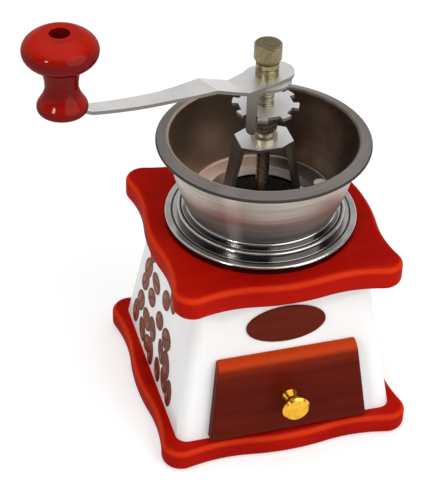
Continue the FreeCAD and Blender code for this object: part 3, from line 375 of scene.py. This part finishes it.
# %% Bright and satin plate
def plated(name, dark, light, polish, steep_shade, level, grooves=(), **constants):
    """Plating in its own colour on level faces, with painted shade on steep ones."""
    finish = Finish(name, Metallic=1.0, **constants)
    radius, _ = finish.round_about()
    haze = finish.noise(finish.place, 90.0, 4.0)
    scratches = finish.noise(finish.stretched(60, 900, 900), 1.0, 2.0)
    faces = haze.step(0.3, 0.7).tint(dark, light)
    level_face_mask = finish.face_z.math("ABSOLUTE").step(*level)
    ring = scratches * 0.05
    for groove in grooves:
        crest = (radius - groove).math("ABSOLUTE").step(0.0002, 0.0007)
        level_face_mask = level_face_mask * crest
        ring = ring + crest
    # Steep faces and the collar's grooves take the steep colour: painted shade, on the collar a
    # painted dark reflection.
    finish.feed("Base Color", level_face_mask.tint(steep_shade, faces))
    finish.feed("Roughness", haze * 0.06 + scratches * 0.05 + polish)
    finish.relief(ring, 0.0004)
    return finish


GROOVES = (0.0402, 0.0446)
# On the collar the near-black steep colour is a painted reflection of the dark room.
bright = plated("bright_plate", (0.55, 0.54, 0.53), (0.70, 0.69, 0.67), 0.08,
                (0.09, 0.086, 0.08), (0.3, 0.7), GROOVES, Anisotropic=0.5)
wear(bright, "hopper_collar")
# On the sheet parts the darker warm steep colour is painted shade, partly also the duller cut
# edges.
satin = plated("satin_plate", (0.84, 0.83, 0.82), (0.90, 0.89, 0.88), 0.40,
               (0.21, 0.19, 0.17), (0.1, 0.7))
wear(satin, "bridge_bracket", "crank_arm", "lock_clip", "adjusting_wheel", "knob_washer",
     "hopper_screws")

# %% [markdown]
# ## Machined steel and its thread
# The spindle is a bar with a thread rolled on its upper part. The solid is a plain cylinder, so
# the thread is a bump: a wave along Z whose phase goes once round with the angle, which makes it
# a helix. The hub of the star wheel shows such ribs as well and wears the same finish.

# %% Machined steel
def machined(name, dark, light):
    """Bare metal with the fine rings of a lathe tool."""
    finish = Finish(name, Metallic=1.0)
    radius, angle = finish.round_about()
    turned = finish.noise(finish.stretched(900, 0.6, 2200, radius, angle), 1.0, 2.0)
    finish.feed("Base Color", turned.step(0.3, 0.7).tint(dark, light))
    finish.feed("Roughness", turned * 0.15 + 0.2)
    return finish, angle, turned


bar, turn, marks = machined("threaded_bar", (0.22, 0.18, 0.125), (0.53, 0.46, 0.35))
PITCH, THREAD_FROM = 0.00125, (0.171, 0.1725)
helix = (bar.z * (2 * math.pi / PITCH) + turn).math("SINE")
threaded = bar.z.step(*THREAD_FROM)
bar.relief(helix * threaded * 0.5 + marks * 0.05, 0.0006)
wear(bar, "spindle", "adjuster_hub")

fixings, _, marks = machined("zinc_fixings", (0.40, 0.40, 0.40), (0.62, 0.62, 0.61))
fixings.relief(marks, 0.00004)
wear(fixings, "knob_pin", "burr_washer", "burr_nut", "tie_bolts", "drawer_knob_screw")

# %% [markdown]
# ## Cast iron
# The burrs and their housing are raw castings, dark and grainy, with a roughness that varies from
# grain to grain.

# %% Cast iron
iron = Finish("cast_iron", Metallic=1.0)
sand = iron.noise(iron.place, 900.0, 4.0)
iron.feed("Base Color", sand.step(0.3, 0.7).tint((0.012, 0.011, 0.010), (0.05, 0.046, 0.042)))
iron.feed("Roughness", sand * 0.3 + 0.4)
iron.relief(sand, 0.0002)
wear(iron, "burr_housing", "outer_burr", "inner_burr")

# %% [markdown]
# ## Dull and polished brass
# The cap nut has darkened and the bush below it is worn paler. The nut's head is knurled with
# fine upright ridges: a wave in the angle, kept to the heights where the knurling tool has run.
# The drawer's pull is still polished and gold.

# %% Brass
BUSH_BELOW, KNURL_FROM, KNURL_OUTSIDE = (0.172, 0.176), (0.196, 0.197), (0.0058, 0.0064)
RIDGES = 56
dull = Finish("worn_brass", Metallic=1.0)
radius, angle = dull.round_about()
tarnish = dull.noise(dull.place, 500.0, 5.0, 0.65)
worn_bush = 1 - dull.z.step(*BUSH_BELOW)
brown = tarnish.step(0.25, 0.75).tint((0.17, 0.135, 0.065), (0.31, 0.26, 0.15))
dull.feed("Base Color", worn_bush.tint(brown, (0.40, 0.35, 0.265)))
dull.feed("Roughness", tarnish * 0.25 + 0.2)
knurl = (angle * RIDGES).math("SINE") * dull.z.step(*KNURL_FROM) * radius.step(*KNURL_OUTSIDE)
dull.relief(knurl * 0.5 + tarnish * 0.2, 0.0003)
wear(dull, "cap_nut", "bearing_bush")

gold = Finish("polished_brass", Metallic=1.0)
breath = gold.noise(gold.place, 300.0, 3.0)
gold.feed("Base Color", breath.step(0.3, 0.7).tint((0.72, 0.36, 0.028), (0.88, 0.50, 0.055)))
gold.feed("Roughness", breath * 0.12 + 0.12)
gold.relief(breath, 0.00004)
wear(gold, "drawer_knob")

# %% [markdown]
# ## Printed beans
# The left face of the body carries a scatter of brown coffee beans, printed under the glaze. A
# print has no thickness to speak of, so each bean is a flat disc, a few hundredths of a
# millimetre off the face and stretched to an oval. Every disc gets its own UV square, which lets
# one finish draw the shading and the crease on all of them: discs whose square is moved by 2 show
# a bean's round back.

# %% Lay out the beans
BODY_HEAD = 0.0445
low, high = (Vector(corner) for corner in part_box("ceramic_body"))
lean = math.atan2(-low.x - BODY_HEAD, high.z - low.z)
forward = Vector((0, -1, 0))
upward = Vector((math.sin(lean), 0, math.cos(lean)))
outward = forward.cross(upward)
face_turn = Matrix((forward, upward, outward)).transposed().to_4x4()
# How far a bean strays from its row, its half length, and its width as a share of its length.
STRAY, HALF_LENGTH, SLIMNESS = 0.0028, (0.0066, 0.0078), (0.68, 0.8)
# Gap between the glaze and the first bean, and the step to the next, so that no two share a plane.
LIFT, LAYER = 4e-5, 5e-6
chance = random.Random(11)
# Height of a row, where it starts and ends across the face, and how many beans it has.
ROWS = ((0.0225, -0.030, 0.0385, 7), (0.0335, -0.022, 0.037, 5), (0.046, -0.012, 0.035, 4),
        (0.058, -0.004, 0.033, 3), (0.0705, -0.010, 0.030, 2), (0.0795, 0.018, 0.018, 1))
print_mesh = bmesh.new()
square = print_mesh.loops.layers.uv.new("bean")
beans = []
for z, start, end, count in ROWS:
    beans += [(z, start + (end - start) * i / max(1, count - 1)) for i in range(count)]
for number, (z, y) in enumerate(beans):
    z = max(z + chance.uniform(-STRAY, STRAY), low.z + HALF_LENGTH[1])
    y += chance.uniform(-STRAY, STRAY)
    spot = Vector((low.x + (z - low.z) * math.tan(lean), y, z)) + outward * (LIFT + LAYER * number)
    size = chance.uniform(*HALF_LENGTH)
    stretch = Matrix.Diagonal((size, size * chance.uniform(*SLIMNESS), 1, 1))
    spin = Matrix.Rotation(chance.uniform(0, math.pi), 4, "Z")
    place = Matrix.Translation(spot) @ face_turn @ spin @ stretch
    made = bmesh.ops.create_circle(print_mesh, cap_ends=True, segments=28, radius=1.0, matrix=place)
    shift = 2.0 if number % 3 == 1 else 0.0
    back_to_disc = place.inverted()
    for loop in made["verts"][0].link_faces[0].loops:
        flat = back_to_disc @ loop.vert.co
        loop[square].uv = (0.5 + flat.x / 2 + shift, 0.5 + flat.y / 2)
bean_print = new_piece("bean_print", print_mesh)
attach(bean_print, "root")
print("beans printed:", len(beans))

# %% [markdown]
# The bean's finish starts from a mid brown that pales towards the back of the face, darkens it
# near the rim of the oval, adds one soft light spot, and draws the crease as a gentle wave along
# the bean.

# %% Bean finish
ink = Finish("bean_ink", Specular_IOR_Level=0.02, Coat_Weight=0.03, Coat_Roughness=0.06)
across, along, _ = ink.parts(ink.print_place)
creased = 1 - across.step(1.4, 1.6)
across = across - (1 - creased) * 2 - 0.5
along = along - 0.5
rim = (across * across + along * along) * 4
tone = ink.noise(ink.place, 60.0, 2.0)
pale = (ink.y.step(-0.02, 0.05) * 0.55 + ink.z.step(0.03, 0.08) * 0.45) * (tone * 0.6 + 0.6)
brown = pale.tint((0.15, 0.026, 0.010), (0.31, 0.09, 0.045))
shaded = (rim.step(0.35, 1.05) * 0.7).tint(brown, (0.06, 0.008, 0.003))
gleam = 1 - ((across + 0.15) * (across + 0.15) + (along - 0.2) * (along - 0.2)).step(0.002, 0.03)
lit = (gleam * 0.4).tint(shaded, (0.50, 0.24, 0.15))
crease = 1 - (along - (across * 7).math("SINE") * 0.05).math("ABSOLUTE").step(0.025, 0.07)
furrow = crease * creased * (1 - rim.step(0.7, 0.95)) * 0.8
ink.feed("Base Color", furrow.tint(lit, (0.030, 0.005, 0.003)))
ink.feed("Roughness", tone * 0.1 + 0.2)
ink.relief(ink.noise(ink.place, 120.0, 2.0), 0.00008)
bean_print.data.materials.append(ink.material)

# %% [markdown]
# ## Studio
# A pale floor runs out of sight under the mill. It is partly lit and partly glows for the eye and
# for mirrors, so that it reads as white paper and still takes a shadow. The sky is a studio in
# bands: pale at the horizon, dark above it, and a wide bright ceiling. The dark band is what the
# flat tops mirror, which keeps the red deep, and what gives the bright metal its black stripes.

# %% Floor and sky
def light_paths(wire):
    """1 for what the eye sees straight, in a mirror or through glass."""
    node = wire.add("LightPath", None, None, "Is Camera Ray").socket.node
    direct = Wire(node.outputs["Is Camera Ray"])
    return direct + Wire(node.outputs["Is Glossy Ray"]) + Wire(node.outputs["Is Transmission Ray"])


FLOOR_HALF = 4.0
floor_mesh = bmesh.new()
bmesh.ops.create_grid(floor_mesh, x_segments=1, y_segments=1, size=FLOOR_HALF)
floor = new_piece("floor", floor_mesh)
paper = Finish("floor_paper", Roughness=0.9, Specular_IOR_Level=0.0, Emission_Strength=0.42)
paper.feed("Base Color", paper.noise(paper.place, 3.0).tint((0.68, 0.68, 0.68), (0.70, 0.70, 0.70)))
paper.feed("Emission Color", light_paths(paper.place).tint((0, 0, 0), (1, 1, 1)))
floor.data.materials.append(paper.material)

world = bpy.data.worlds.new("studio")
bpy.context.scene.world = world
world.use_nodes = True
sky = world.node_tree
ray = Wire(sky.nodes.new("ShaderNodeTexCoord").outputs["Generated"])
split = ray.add("SeparateXYZ", None, {0: ray}).socket.node
_, depth, height = (Wire(output) for output in split.outputs)
dark_wall = depth.step(-0.1, 0.5).tint((0.035, 0.034, 0.032), (0.40, 0.40, 0.40))
wall = height.step(0.15, 0.27).tint((0.80, 0.80, 0.80), dark_wall)
studio_light = height.step(0.66, 0.9).tint(wall, (1.0, 1.0, 1.0))
sky.links.new(studio_light.socket, sky.nodes["Background"].inputs["Color"])
sky.nodes["Background"].inputs["Strength"].default_value = 1.25
print("floor and sky set")

# %% [markdown]
# ## Lamps
# One large soft lamp stands to the front right and models the shapes, and a small one on the left
# draws the glints on the collar and the knob.

# %% Lamps
def lamp(name, spot, aim, size, power):
    """A round soft lamp that looks at a point."""
    data = bpy.data.lights.new(name, "AREA")
    data.shape = "DISK"
    data.size = size
    data.energy = power
    light = bpy.data.objects.new(name, data)
    light.location = spot
    light.rotation_euler = (Vector(aim) - Vector(spot)).to_track_quat("-Z", "Y").to_euler()
    bpy.context.scene.collection.objects.link(light)


lamp("key_lamp", (0.75, -1.1, 0.8), (0, 0, 0.1), 1.8, 17.0)
lamp("left_lamp", (-0.95, -0.66, 0.8), (0, 0, 0.12), 0.2, 5.0)
print("lamps set")

# %% [markdown]
# ## Camera
# The photograph was taken from the front left and well above. The numbers come from fitting a
# pinhole camera to the corners of both boards: azimuth and elevation of the view, its roll, its
# distance from the aim point, and the focal length in picture heights.

# %% Camera
AZIMUTH, ELEVATION, ROLL = (math.radians(a) for a in (-16.584, 37.377, 1.501))
DISTANCE = 0.84156
AIM_SIDE, AIM_UP = -0.02391, 0.08163
FOCAL_HEIGHTS = 1640.2 / 500
reach = math.cos(ELEVATION)
back_dir = Vector((math.sin(AZIMUTH) * reach, -math.cos(AZIMUTH) * reach, math.sin(ELEVATION)))
right = Vector((math.cos(AZIMUTH), math.sin(AZIMUTH), 0))
up = back_dir.cross(right)
right_rolled = right * math.cos(ROLL) + up * math.sin(ROLL)
up_rolled = up * math.cos(ROLL) - right * math.sin(ROLL)
lens = bpy.data.cameras.new("photo_camera")
lens.sensor_width = 36.0
lens.lens = FOCAL_HEIGHTS * lens.sensor_width
camera = bpy.data.objects.new("photo_camera", lens)
turn_matrix = Matrix((right_rolled, up_rolled, back_dir)).transposed().to_4x4()
stand = right * AIM_SIDE + Vector((0, 0, AIM_UP)) + back_dir * DISTANCE
camera.matrix_world = Matrix.Translation(stand) @ turn_matrix
bpy.context.scene.collection.objects.link(camera)
bpy.context.scene.camera = camera
bpy.context.scene.view_settings.view_transform = "Standard"
print("camera at", tuple(round(v, 4) for v in camera.matrix_world.translation))
